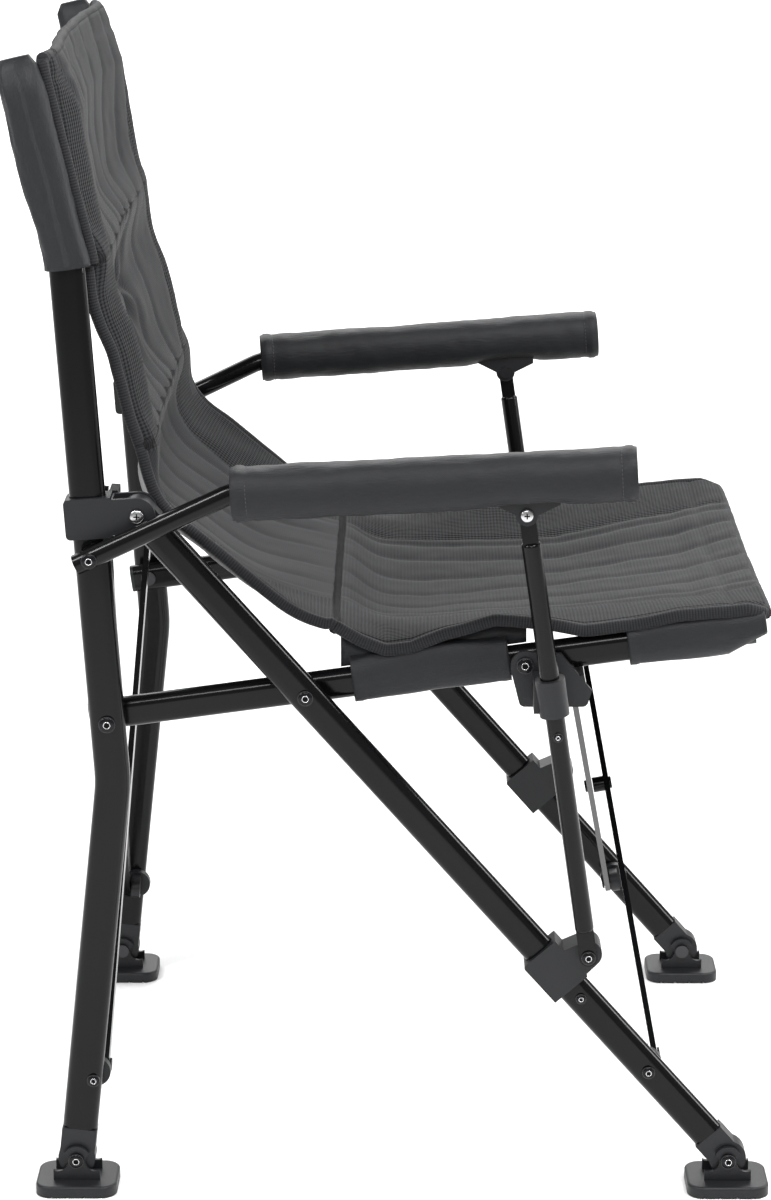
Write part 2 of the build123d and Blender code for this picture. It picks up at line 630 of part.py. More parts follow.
with BuildPart() as right_front_bar:
    fx, fz = BAR_SPAN / FRONT_L, hypot(FRONT_T[0] - FRONT_B[0], FRONT_T[1] - FRONT_B[1]) / FRONT_L
    face = Plane(origin=(-BAR_OB, *along(FRONT_B, FRONT_DIR, 0, BAR_GAP)), x_dir=(fx, FRONT_DIR[0] * fz, FRONT_DIR[1] * fz), z_dir=(0, -FRONT_DIR[1], FRONT_DIR[0]))
    half = BAR_OB / fx
    with BuildSketch(face):
        with Locations((FRONT_L / 2 - 1.25, 0)):
            SlotCenterToCenter(FRONT_L - 2.5, BAR_W)
        Circle(BORE_R, mode=Mode.SUBTRACT)
    extrude(amount=BAR_T)
    with BuildSketch(face.offset(BAR_T)):
        with Locations((half, 0)):
            Circle(5.5)
    extrude(amount=2.0)
    with BuildSketch(face.offset(-2.0)):
        with Locations((FRONT_L, 0)):
            Circle(5.5)
    extrude(amount=2.0)
    with BuildSketch(face.offset(-10.3)):
        with Locations((half, 0)):
            Circle(7)
    extrude(amount=10.3)

with BuildPart() as left_front_bar:
    face = Plane(origin=(BAR_OB, *along(FRONT_B, FRONT_DIR, 0, -BAR_GAP)), x_dir=(-fx, FRONT_DIR[0] * fz, FRONT_DIR[1] * fz), z_dir=(0, FRONT_DIR[1], -FRONT_DIR[0]))
    with BuildSketch(face):
        with Locations((FRONT_L / 2 - 1.25, 0)):
            SlotCenterToCenter(FRONT_L - 2.5, BAR_W)
        Circle(BORE_R, mode=Mode.SUBTRACT)
    extrude(amount=BAR_T)
    with BuildSketch(face.offset(BAR_T)):
        with Locations((FRONT_L, 0), (half, 0)):
            Circle(5.5)
    extrude(amount=2.0)

# ---------------------------------------------------------------- fabric panels
with BuildPart() as seat_panel:
    with BuildSketch(Plane.YZ.offset(-224.0)):
        with BuildLine():
            Polyline(
                (62.0 + Y0, 492.0), (-100.0 + Y0, 499.0), (-292.0 + Y0, 519.0), (-303.0 + Y0, 513.0),
                (-300.0 + Y0, 507.0), (-100.0 + Y0, 484.0), (56.0 + Y0, 468.0), close=True,
            )
        make_face()
    extrude(amount=448)

with BuildPart() as back_panel:
    with BuildSketch(Plane.YZ.offset(-246.0)):
        with BuildLine():
            Polyline(
                (266.5 + Y0, 804.0), (269.0 + Y0, 812.0), (304.0 + Y0, 966.0), (311.0 + Y0, 964.5),
                (276.5 + Y0, 811.0), (274.5 + Y0, 804.0), close=True,
            )
        make_face()
    extrude(amount=492)

with BuildPart() as upper_sling:
    with BuildSketch(Plane.YZ.offset(-244.0)):
        with BuildLine():
            Polyline(
                (266.5 + Y0, 803.0), (243.0 + Y0, 772.0), (204.0 + Y0, 650.0), (212.0 + Y0, 648.0),
                (251.0 + Y0, 769.0), (274.5 + Y0, 803.0), close=True,
            )
        make_face()
    extrude(amount=488)

with BuildPart() as lower_sling:
    with BuildSketch(Plane.YZ.offset(-224.0)):
        with BuildLine():
            Polyline(
                (204.0 + Y0, 648.5), (199.0 + Y0, 592.0), (150.0 + Y0, 527.0), (64.0 + Y0, 492.0), (67.0 + Y0, 484.0),
                (155.0 + Y0, 520.0), (207.0 + Y0, 589.0), (212.0 + Y0, 646.5), close=True,
            )
        make_face()
    extrude(amount=448)

# ---------------------------------------------------------------- left half
with BuildPart() as left_rear_leg:
    mirror(right_rear_leg.part, about=Plane.YZ)
with BuildPart() as left_rear_boot:
    mirror(right_rear_boot.part, about=Plane.YZ)
with BuildPart() as left_rear_rivets:
    mirror(right_rear_rivets.part, about=Plane.YZ)
with BuildPart() as left_back_sleeve:
    mirror(right_back_sleeve.part, about=Plane.YZ)
with BuildPart() as left_rear_foot:
    mirror(right_rear_foot.part, about=Plane.YZ)
with BuildPart() as left_front_foot:
    mirror(right_front_foot.part, about=Plane.YZ)
with BuildPart() as left_seat_rail:
    mirror(right_seat_rail.part, about=Plane.YZ)
with BuildPart() as left_rail_plugs:
    mirror(right_rail_plugs.part, about=Plane.YZ)
with BuildPart() as left_rail_screws:
    mirror(right_rail_screws.part, about=Plane.YZ)
with BuildPart() as left_rail_sleeves:
    mirror(right_rail_sleeves.part, about=Plane.YZ)
with BuildPart() as left_upper_collar:
    mirror(right_upper_collar.part, about=Plane.YZ)
with BuildPart() as left_upper_pins:
    mirror(right_upper_pins.part, about=Plane.YZ)
with BuildPart() as left_front_leg:
    mirror(right_front_leg.part, about=Plane.YZ)
with BuildPart() as left_front_boots:
    mirror(right_front_boots.part, about=Plane.YZ)
with BuildPart() as left_front_rivets:
    mirror(right_front_rivets.part, about=Plane.YZ)
with BuildPart() as left_lower_collar:
    mirror(right_lower_collar.part, about=Plane.YZ)
with BuildPart() as left_arm_tube:
    mirror(right_arm_tube.part, about=Plane.YZ)
with BuildPart() as left_arm_clip:
    mirror(right_arm_clip.part, about=Plane.YZ)
with BuildPart() as left_arm_screws:
    mirror(right_arm_screws.part, about=Plane.YZ)
with BuildPart() as left_arm_pad:
    mirror(right_arm_pad.part, about=Plane.YZ)
with BuildPart() as left_arm_post:
    mirror(right_arm_post.part, about=Plane.YZ)
with BuildPart() as left_post_rivets:
    mirror(right_post_rivets.part, about=Plane.YZ)

# ---------------------------------------------------------------- export
pieces = {
    "right_rear_leg": right_rear_leg, "right_rear_boot": right_rear_boot, "right_rear_rivets": right_rear_rivets,
    "right_back_sleeve": right_back_sleeve, "right_rear_foot": right_rear_foot, "right_front_foot": right_front_foot,
    "right_seat_rail": right_seat_rail, "right_rail_plugs": right_rail_plugs, "right_rail_screws": right_rail_screws,
    "right_rail_sleeves": right_rail_sleeves, "right_upper_collar": right_upper_collar, "right_upper_pins": right_upper_pins,
    "right_front_leg": right_front_leg, "right_front_boots": right_front_boots, "right_front_rivets": right_front_rivets,
    "right_lower_collar": right_lower_collar, "right_arm_tube": right_arm_tube, "right_arm_clip": right_arm_clip,
    "right_arm_screws": right_arm_screws, "right_arm_pad": right_arm_pad, "right_arm_post": right_arm_post,
    "right_post_bracket": right_post_bracket, "right_post_rivets": right_post_rivets,
    "right_back_bracket": right_back_bracket, "right_front_bracket": right_front_bracket,
    "right_back_bar": right_back_bar, "right_front_bar": right_front_bar,
    "left_rear_leg": left_rear_leg, "left_rear_boot": left_rear_boot, "left_rear_rivets": left_rear_rivets,
    "left_back_sleeve": left_back_sleeve, "left_rear_foot": left_rear_foot, "left_front_foot": left_front_foot,
    "left_seat_rail": left_seat_rail, "left_rail_plugs": left_rail_plugs, "left_rail_screws": left_rail_screws,
    "left_rail_sleeves": left_rail_sleeves, "left_upper_collar": left_upper_collar, "left_upper_pins": left_upper_pins,
    "left_front_leg": left_front_leg, "left_front_boots": left_front_boots, "left_front_rivets": left_front_rivets,
    "left_lower_collar": left_lower_collar, "left_arm_tube": left_arm_tube, "left_arm_clip": left_arm_clip,
    "left_arm_screws": left_arm_screws, "left_arm_pad": left_arm_pad, "left_arm_post": left_arm_post,
    "left_post_bracket": left_post_bracket, "left_post_rivets": left_post_rivets,
    "left_back_bracket": left_back_bracket, "left_front_bracket": left_front_bracket,
    "left_back_bar": left_back_bar, "left_front_bar": left_front_bar,
    "seat_panel": seat_panel, "back_panel": back_panel, "upper_sling": upper_sling, "lower_sling": lower_sling,
}
for name, piece in pieces.items():
    piece.part.label = name
    export_step(piece.part, f"parts/{name}.step")
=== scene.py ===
import json
import math

import bmesh
import bpy
import numpy as np
from mathutils import Matrix, Vector, noise


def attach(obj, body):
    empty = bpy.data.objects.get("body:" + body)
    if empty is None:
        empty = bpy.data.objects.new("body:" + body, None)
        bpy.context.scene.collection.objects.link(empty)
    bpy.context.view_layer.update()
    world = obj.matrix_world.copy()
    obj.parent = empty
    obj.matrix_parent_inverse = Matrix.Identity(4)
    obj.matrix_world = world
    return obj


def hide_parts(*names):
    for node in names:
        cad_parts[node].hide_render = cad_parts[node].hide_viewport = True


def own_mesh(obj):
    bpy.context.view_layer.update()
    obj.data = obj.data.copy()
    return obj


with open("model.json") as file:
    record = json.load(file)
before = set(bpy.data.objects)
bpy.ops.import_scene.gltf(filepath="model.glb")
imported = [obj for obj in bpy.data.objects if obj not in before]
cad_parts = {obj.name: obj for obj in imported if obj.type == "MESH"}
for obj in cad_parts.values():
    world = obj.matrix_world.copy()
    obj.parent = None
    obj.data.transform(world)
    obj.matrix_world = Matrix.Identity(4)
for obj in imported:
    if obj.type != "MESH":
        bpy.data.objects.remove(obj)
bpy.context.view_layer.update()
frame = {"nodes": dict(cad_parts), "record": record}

scene = bpy.context.scene
Y0 = -0.003

# ------------------------------------------------------------------ camera
def camera():
    pitch, yaw, roll = math.radians(14.49), math.radians(0.27), math.radians(-0.05)
    look = Vector((math.cos(pitch) * math.cos(yaw), math.cos(pitch) * math.sin(yaw), -math.sin(pitch)))
    right = look.cross(Vector((0, 0, 1))).normalized()
    up = right.cross(look)
    r = right * math.cos(roll) + up * math.sin(roll)
    u = -right * math.sin(roll) + up * math.cos(roll)
    cam = bpy.data.cameras.new("camera")
    cam.lens, cam.sensor_width = 106.2, 36
    obj = bpy.data.objects.new("camera", cam)
    scene.collection.objects.link(obj)
    m = Matrix((r, u, -look)).transposed().to_4x4()
    m.translation = Vector((-3.105, 0.0005 + Y0, 1.258))
    obj.matrix_world = m
    scene.camera = obj

camera()

# ------------------------------------------------------------------ materials
def principled(name, color, rough, spec=0.5, metal=0.0, coat=0.0, sheen=0.0):
    m = bpy.data.materials.new(name)
    m.use_nodes = True
    n = m.node_tree.nodes["Principled BSDF"]
    n.inputs["Base Color"].default_value = (*color, 1)
    n.inputs["Roughness"].default_value = rough
    n.inputs["Specular IOR Level"].default_value = spec
    n.inputs["Metallic"].default_value = metal
    n.inputs["Coat Weight"].default_value = coat
    n.inputs["Coat Roughness"].default_value = 0.08
    n.inputs["Sheen Weight"].default_value = sheen
    n.inputs["Sheen Roughness"].default_value = 0.4
    return m, m.node_tree, n


def math_node(t, op, a, b=None):
    n = t.nodes.new("ShaderNodeMath")
    n.operation = op
    for i, v in enumerate((a, b)):
        if v is None:
            continue
        if hasattr(v, "is_linked") or hasattr(v, "links"):
            t.links.new(v, n.inputs[i])
        else:
            n.inputs[i].default_value = v
    return n.outputs[0]


def uv_axes(t):
    uv = t.nodes.new("ShaderNodeUVMap")
    uv.uv_map = "cloth"
    sep = t.nodes.new("ShaderNodeSeparateXYZ")
    t.links.new(uv.outputs[0], sep.inputs[0])
    return sep.outputs[0], sep.outputs[1]


def wave(t, src, pitch, phase=0.0):
    return math_node(t, "SINE", math_node(t, "ADD", math_node(t, "MULTIPLY", src, 2 * math.pi / pitch), phase))


def finish_cloth(t, n, height, colour, dark, light, bump=0.6, dist=0.0006):
    ramp = t.nodes.new("ShaderNodeValToRGB")
    ramp.color_ramp.elements[0].color = (*dark, 1)
    ramp.color_ramp.elements[1].color = (*light, 1)
    t.links.new(colour, ramp.inputs[0])
    t.links.new(ramp.outputs[0], n.inputs["Base Color"])
    b = t.nodes.new("ShaderNodeBump")
    b.inputs["Strength"].default_value = bump
    b.inputs["Distance"].default_value = dist
    t.links.new(height, b.inputs["Height"])
    t.links.new(b.outputs[0], n.inputs["Normal"])
    return ramp


def half(t, v):
    return math_node(t, "ADD", math_node(t, "MULTIPLY", v, 0.5), 0.5)


def mesh_cloth(name, pitch, dark, light):
    m, t, n = principled(name, light, 0.8, 0.2, sheen=0.06)
    u, v = uv_axes(t)
    a = wave(t, math_node(t, "ADD", u, v), pitch)
    b = wave(t, math_node(t, "SUBTRACT", u, v), pitch)
    p = half(t, math_node(t, "MULTIPLY", a, b))
    r = finish_cloth(t, n, p, p, dark, light, 0.8, 0.0012)
    r.color_ramp.elements[0].position, r.color_ramp.elements[1].position = 0.32, 0.62
    return m


def rib_cloth(name, pitch, dark, light, across=False):
    m, t, n = principled(name, light, 0.75, 0.22, sheen=0.08)
    u, v = uv_axes(t)
    main = wave(t, u if across else v, pitch)
    cross = wave(t, v if across else u, pitch * 0.55)
    p = half(t, math_node(t, "ADD", math_node(t, "MULTIPLY", main, 0.75), math_node(t, "MULTIPLY", cross, 0.25)))
    r = finish_cloth(t, n, p, p, dark, light, 0.5, 0.0007)
    r.color_ramp.elements[0].position, r.color_ramp.elements[1].position = 0.1, 0.8
    return m


def twill_cloth(name, pitch, dark, light):
    m, t, n = principled(name, light, 0.72, 0.22, sheen=0.08)
    u, v = uv_axes(t)
    main = wave(t, math_node(t, "ADD", math_node(t, "MULTIPLY", u, 1.0), math_node(t, "MULTIPLY", v, 0.8)), pitch)
    cross = wave(t, v, pitch * 0.6)
    p = half(t, math_node(t, "ADD", math_node(t, "MULTIPLY", main, 0.7), math_node(t, "MULTIPLY", cross, 0.3)))
    r = finish_cloth(t, n, p, p, dark, light, 0.5, 0.0006)
    r.color_ramp.elements[0].position, r.color_ramp.elements[1].position = 0.1, 0.85
    return m


def plain_cloth(name, dark, light, rough=0.6):
    m, t, n = principled(name, light, rough, 0.3, sheen=0.05)
    u, v = uv_axes(t)
    p = half(t, math_node(t, "MULTIPLY", wave(t, u, 0.0016), wave(t, v, 0.0016)))
    cloud = t.nodes.new("ShaderNodeTexNoise")
    cloud.inputs["Scale"].default_value = 38
    cloud.inputs["Detail"].default_value = 3
    finish_cloth(t, n, math_node(t, "ADD", math_node(t, "MULTIPLY", p, 0.3), cloud.outputs[0]), math_node(t, "ADD", math_node(t, "MULTIPLY", p, 0.5), math_node(t, "MULTIPLY", cloud.outputs[0], 0.5)), dark, light, 0.35, 0.0012)
    return m


def plastic(name, color, rough):
    m, t, n = principled(name, color, rough, 0.32)
    g = t.nodes.new("ShaderNodeTexNoise")
    g.inputs["Scale"].default_value = 900
    b = t.nodes.new("ShaderNodeBump")
    b.inputs["Strength"].default_value = 0.12
    b.inputs["Distance"].default_value = 0.0003
    t.links.new(g.outputs[0], b.inputs["Height"])
    t.links.new(b.outputs[0], n.inputs["Normal"])
    return m


def coated(name, color, rough):
    m, t, n = principled(name, color, rough, 0.2)
    g = t.nodes.new("ShaderNodeTexNoise")
    g.inputs["Scale"].default_value = 160
    g.inputs["Detail"].default_value = 2
    b = t.nodes.new("ShaderNodeBump")
    b.inputs["Strength"].default_value = 0.03
    b.inputs["Distance"].default_value = 0.0004
    t.links.new(g.outputs[0], b.inputs["Height"])
    t.links.new(b.outputs[0], n.inputs["Normal"])
    return m


tube = coated("frame_tube", (0.0030, 0.0030, 0.0034), 0.17)
bar_mat = coated("flat_bar", (0.0035, 0.0035, 0.004), 0.2)
moulded = plastic("moulded_plastic", (0.011, 0.0115, 0.013), 0.42)
foot_mat = plastic("foot_plastic", (0.010, 0.0105, 0.012), 0.45)
steel, _, _ = principled("bright_steel", (0.55, 0.55, 0.56), 0.25, 0.5, metal=1.0)
dark_steel, _, _ = principled("fasteners", (0.055, 0.055, 0.058), 0.28, 0.5, metal=1.0)
black_rivet = coated("black_rivet", (0.006, 0.006, 0.007), 0.14)
# near-black matt material: painted shade standing in for the inside of the phillips recesses and the hollow rivet
# centres
recess_painted_shade, _, _ = principled("recess_painted_shade", (0.002, 0.002, 0.002), 0.8, 0.1)
DARK, MID, LIGHT = (0.003, 0.003, 0.0035), (0.0085, 0.0088, 0.0098), (0.020, 0.0207, 0.023)
air_mesh = mesh_cloth("air_mesh", 0.0062, (0.0012, 0.0012, 0.0015), (0.022, 0.0228, 0.025))
ribbed = rib_cloth("ribbed_cloth", 0.0030, MID, (0.0150, 0.0156, 0.0172), across=False)
twill = twill_cloth("twill_cloth", 0.0028, MID, (0.0165, 0.0171, 0.0190))
binding = rib_cloth("binding_tape", 0.0024, (0.005, 0.0052, 0.006), (0.020, 0.0205, 0.023))
plain = plain_cloth("plain_polyester", (0.0055, 0.0060, 0.0072), (0.0135, 0.0146, 0.0172), 0.48)
pad_cloth = plain_cloth("pad_polyester", (0.0050, 0.0054, 0.0064), (0.0125, 0.0134, 0.0156), 0.55)

slot_mats = {"frame_tube": tube, "flat_bar": bar_mat, "moulded_plastic": moulded, "foot_plastic": foot_mat, "fasteners": dark_steel}
slot_of = {s["node"]: s["material_slot"] for s in frame["record"]["subparts"]}
for name, obj in frame["nodes"].items():
    mat = slot_mats.get(slot_of.get(name))
    if mat:
        obj.data.materials.clear()
        obj.data.materials.append(mat)

# ------------------------------------------------------------------ helpers for cloth
def build(name, verts, faces, uvs, mats, face_mats, smooth=True):
    me = bpy.data.meshes.new(name)
    me.from_pydata([tuple(map(float, v)) for v in verts], [], [tuple(map(int, f)) for f in faces])
    layer = me.uv_layers.new(name="cloth")
    flat = np.array(uvs, float)
    loops = np.array([l.vertex_index for l in me.loops])
    layer.data.foreach_set("uv", flat[loops].reshape(-1))
    for m in mats:
        me.materials.append(m)
    me.polygons.foreach_set("material_index", np.array(face_mats, int))
    me.polygons.foreach_set("use_smooth", np.full(len(me.polygons), smooth))
    me.update()
    obj = bpy.data.objects.new(name, me)
    scene.collection.objects.link(obj)
    bm = bmesh.new()
    bm.from_mesh(me)
    bmesh.ops.recalc_face_normals(bm, faces=bm.faces)
    bm.to_mesh(me)
    bm.free()
    return obj


def resample(points, n):
    p = np.array(points, float)
    seg = np.concatenate([[0], np.cumsum(np.linalg.norm(np.diff(p, axis=0), axis=1))])
    t = np.linspace(0, seg[-1], n)
    return np.stack([np.interp(t, seg, p[:, i]) for i in range(p.shape[1])], 1), t


def smooth_curve(points, n, rounds=2):
    """Chaikin corner cutting, then even spacing."""
    p = np.array(points, float)
    for _ in range(rounds):
        q = [p[0]]
        for a, b in zip(p[:-1], p[1:]):
            q += [a * 0.75 + b * 0.25, a * 0.25 + b * 0.75]
        q.append(p[-1])
        p = np.array(q)
    return resample(p, n)


def tube_along(path, radii, sides=10, flat=1.0):
    """Verts, faces and uvs of a closed-ended tube along path; flat squashes it along world X."""
    path = np.array(path, float)
    n = len(path)
    tan = np.gradient(path, axis=0)
    tan /= np.linalg.norm(tan, axis=1)[:, None] + 1e-12
    verts, uvs = [], []
    run = np.concatenate([[0], np.cumsum(np.linalg.norm(np.diff(path, axis=0), axis=1))])
    ref = np.array([1.0, 0, 0])
    for i in range(n):
        t = tan[i]
        a = ref - t * (ref @ t)
        if np.linalg.norm(a) < 0.2:
            a = np.array([0, 0, 1.0]) - t * t[2]
        a /= np.linalg.norm(a)
        b = np.cross(t, a)
        for k in range(sides):
            w = 2 * math.pi * k / sides
            r = radii[i] if hasattr(radii, "__len__") else radii
            verts.append(path[i] + a * math.cos(w) * r * flat + b * math.sin(w) * r)
            uvs.append((w * 0.004, run[i]))
    faces = []
    for i in range(n - 1):
        for k in range(sides):
            k2 = (k + 1) % sides
            faces.append((i * sides + k, i * sides + k2, (i + 1) * sides + k2, (i + 1) * sides + k))
    faces.append(tuple(range(sides))[::-1])
    faces.append(tuple((n - 1) * sides + k for k in range(sides)))
    return verts, faces, uvs


# side-plane line of the free edges, metres, from the top hem down to the rear cross seam
EDGE = [
    (289, 968), (285, 940), (278, 890), (270, 840), (263, 803), (252, 757), (238, 729), (228, 683), (219, 647),
    (209, 615), (196, 592), (162, 566), (119, 529), (89, 507), (54, 496),
]
SEAT_LINE = [(0, 495), (-60, 498), (-123, 501), (-190, 505), (-250, 509), (-304, 507)]
SEAT_EDGE = np.array([
    (60, 500), (34, 484), (14, 475), (-8, 477), (-35, 489), (-78, 501), (-123, 497), (-151, 492), (-192, 497), (-234, 505), (-289, 511), (-304, 506),
]) / 1000.0

line_all, run_all = smooth_curve(np.array(EDGE + SEAT_LINE) / 1000.0, 231, 2)
tan_all = np.gradient(line_all, axis=0)
kernel = np.ones(15) / 15
tan_all = np.stack([np.convolve(np.pad(tan_all[:, i], 7, mode="edge"), kernel, "valid") for i in range(2)], 1)
tan_all /= np.linalg.norm(tan_all, axis=1)[:, None]
nrm_all = np.stack([-tan_all[:, 1], tan_all[:, 0]], 1)      # rearward on the back, downward on the seat
# u is the height on the back and falls on with the distance forward on the seat
SEAM_Y, SEAM_Z = 0.054, 0.497
u_all = np.where(line_all[:, 0] >= SEAM_Y, line_all[:, 1], SEAM_Z - (SEAM_Y - line_all[:, 0]))
u_all = np.minimum.accumulate(u_all)
U_FRONT = u_all[-1]


def table(u, pairs):
    pairs = sorted(pairs)
    return np.interp(u, [p[0] for p in pairs], [p[1] for p in pairs])


SAG = [(0.139, 0.004), (0.19, 0.020), (0.30, 0.032), (0.42, 0.033), (0.497, 0.030), (0.53, 0.030), (0.60, 0.034), (0.68, 0.032), (0.76, 0.030), (0.80, 0.028), (0.88, 0.024), (0.968, 0.012)]
BULGE = [(0.139, 0), (0.585, 0), (0.62, 0.007), (0.67, 0.022), (0.78, 0.024), (0.92, 0.024), (0.950, 0.016), (0.968, 0.010)]
WIDTH = [(0.139, 0.238), (0.152, 0.2435), (0.175, 0.245), (0.497, 0.244), (0.56, 0.243), (0.60, 0.241), (0.64, 0.242), (0.76, 0.246), (0.803, 0.247), (0.968, 0.247)]
STRIP = [(0.139, 0.66), (0.30, 0.56), (0.497, 0.58), (0.60, 0.70), (0.66, 0.77), (0.745, 0.79), (0.85, 0.76), (0.93, 0.84), (0.968, 0.92)]
OUTER = [(0.139, 0.56), (0.30, 0.48), (0.497, 0.52), (0.60, 0.56), (0.745, 0.44), (0.85, 0.58), (0.968, 0.72)]
INNER = [(0.139, 0.38), (0.30, 0.31), (0.497, 0.36), (0.60, 0.34), (0.745, 0.13), (0.85, 0.33), (0.968, 0.50)]
CORE = [(0.139, 0.13), (0.30, 0.10), (0.497, 0.12), (0.60, 0.11), (0.745, 0.03), (0.85, 0.10), (0.968, 0.16)]
PINCH_U = 0.742
NU = 141
S_ALL = np.linspace(-1, 1, NU)


def shoulder(a):
    """Rises from the bound edge to the full height of the padding over the mesh strip."""
    t = max(0.0, min(1.0, (1 - a) / 0.20))
    return t * t * (3 - 2 * t) * 0.35 + math.sin(t * math.pi / 2) * 0.65


def cover_point(i, s):
    """Top and bottom point of the padded cover at row i and cross position s."""
    u = u_all[i]
    w = table(u, WIDTH)
    x = s * w
    a = abs(s)
    marks = (table(u, STRIP), table(u, OUTER), table(u, INNER), table(u, CORE))
    gap = min(abs(a - q) for q in marks) * w
    fill = 1 - math.exp(-(gap / 0.0065) ** 1.3)
    cross = math.exp(-((u - SEAM_Z) / 0.007) ** 2)
    hem = math.exp(-((u - U_FRONT - 0.028) / 0.0035) ** 2) + math.exp(-((u - 0.950) / 0.0035) ** 2)
    puff = 0.0024 * fill * (1 - 0.85 * min(1.0, cross + hem))
    d = table(u, SAG) * (1 - a ** 2.3) - table(u, BULGE) * shoulder(a)
    # pinch in the back, with folds running out of it
    rx, ru = x, u - PINCH_U
    r = math.hypot(rx, ru)
    if r < 0.3:
        ang = math.atan2(ru, rx)
        d += 0.010 * math.exp(-(r / 0.035) ** 2)
        d += 0.0042 * math.cos(7 * ang) * math.exp(-r / 0.085) * min(1.0, r / 0.02)
    # folds in the rear corners of the seat and lower back, fanning out towards the side edges
    corner = math.exp(-((u - 0.52) / 0.075) ** 2) * max(0.0, a - 0.25) / 0.75
    d += 0.0036 * corner * math.sin(2 * math.pi * (0.9 * a * 3.1 + (u - 0.50) * 9)) * (1 - a ** 6)
    # the three cross seams where the cover folds are drawn nearly straight
    for us, level in ((0.803, -0.016), (0.647, -0.009), (SEAM_Z, 0.006)):
        f = 0.86 * math.exp(-((u - us) / 0.024) ** 2)
        d = d * (1 - f) + level * f * min(1.0, (1 - a) / 0.05 + 0.35)
    p = Vector((x * 7, u * 7, 2.3))
    d += 0.0028 * noise.noise(p) + 0.0014 * noise.noise(p * 3.1) + 0.0005 * noise.noise(p * 9.0)
    rim = min(1.0, (1 - a) * w / 0.010)
    half = 0.0042 * (0.45 + 0.55 * rim)
    up = half + puff * rim
    dn = half + 0.3 * puff * rim
    y, z = line_all[i]
    if y < 0.06:
        lift = np.interp(-y, -SEAT_EDGE[:, 0], SEAT_EDGE[:, 1]) - np.interp(-y, -line_all[::-1, 0][::-1], line_all[::-1, 1][::-1])
        z = z + lift * max(0.0, min(1.0, (abs(x) - 0.165) / 0.075)) ** 1.6
    n = nrm_all[i]
    return (x, y + n[0] * (d - up) + Y0, z + n[1] * (d - up)), (x, y + n[0] * (d + dn) + Y0, z + n[1] * (d + dn))


def cover(i0, i1, skin_of):
    rows = range(i0, i1 + 1)
    top, bottom, uv = [], [], []
    for i in rows:
        for s in S_ALL:
            t, b = cover_point(i, s)
            top.append(t)
            bottom.append(b)
            uv.append((t[0], run_all[i]))
    n, base = len(rows), len(top)
    faces, fm = [], []
    for k in range(n - 1):
        for j in range(NU - 1):
            a, b, c, d = k * NU + j, k * NU + j + 1, (k + 1) * NU + j + 1, (k + 1) * NU + j
            faces.append((a, b, c, d))
            fm.append(skin_of((S_ALL[j] + S_ALL[j + 1]) / 2, (u_all[i0 + k] + u_all[i0 + k + 1]) / 2))
            faces.append((base + d, base + c, base + b, base + a))
            fm.append(3)
    e = (n - 1) * NU
    for j in range(NU - 1):
        faces.append((j + 1, j, base + j, base + j + 1)); fm.append(2)
        faces.append((e + j, e + j + 1, base + e + j + 1, base + e + j)); fm.append(2)
    for k in range(n - 1):
        a, d = k * NU, (k + 1) * NU
        faces.append((a, d, base + d, base + a)); fm.append(2)
        a, d = k * NU + NU - 1, (k + 1) * NU + NU - 1
        faces.append((d, a, base + a, base + d)); fm.append(2)
    return top + bottom, faces, uv + uv, fm, np.array(top).reshape(n, NU, 3), np.array(bottom).reshape(n, NU, 3)


def with_tape(data, top, bottom, sides=("left", "right"), ends=(), r=0.0052):
    """Adds the rounded binding tape along the chosen rims."""
    verts, faces, uvs, fm = data
    mid = (top + bottom) / 2
    lines = []
    if "left" in sides:
        lines.append(mid[:, 0])
    if "right" in sides:
        lines.append(mid[:, -1])
    if "start" in ends:
        lines.append(mid[0])
    if "end" in ends:
        lines.append(mid[-1])
    for line in lines:
        v, f, u = tube_along(line, r, 10)
        off = len(verts)
        verts = verts + v
        uvs = uvs + u
        faces = faces + [tuple(i + off for i in q) for q in f]
        fm = fm + [2] * len(f)
    return verts, faces, uvs, fm


# ------------------------------------------------------------------ back, sling and seat
def row(u):
    return int(np.argmin(np.abs(u_all - u)))


def back_skin(s, u):
    if abs(s) > table(u, STRIP) and (abs(u - 0.62) > 0.02 or abs(s) < 0.9):
        return 1
    return 0


def seat_skin(s, u):
    return 1 if abs(s) > table(u, STRIP) and abs(s) < 0.975 else 0


def side_skirt(i0, i1):
    """Plain gusset from the seat's side edge down to the loop on the rail, both sides."""
    verts, faces, uvs, fm = [], [], [], []
    for sx in (-1, 1):
        rows = [i for i in range(i0, i1 + 1) if -0.105 < line_all[i, 0] < 0.053]
        off = len(verts)
        for i in rows:
            y = line_all[i, 0]
            t, b = cover_point(i, sx * 0.965)
            low = 0.418 + (0.2466 - y) * 0.1375 + 0.0145
            mid = (b[2] + low) / 2
            for x, z in ((0.2345, b[2] + 0.003), (0.2335 + 0.002 * math.sin(y * 90), mid), (0.2365, low), (0.2385, low), (0.2358 + 0.002 * math.sin(y * 90), mid), (0.2368, b[2] + 0.003)):
                verts.append((sx * x, y + Y0, z))
                uvs.append((z, y))
        for k in range(len(rows) - 1):
            for j in range(6):
                j2 = (j + 1) % 6
                faces.append((off + k * 6 + j, off + k * 6 + j2, off + (k + 1) * 6 + j2, off + (k + 1) * 6 + j)); fm.append(3)
        faces.append(tuple(off + j for j in range(6))[::-1]); fm.append(3)
        faces.append(tuple(off + (len(rows) - 1) * 6 + j for j in range(6))); fm.append(3)
    return verts, faces, uvs, fm


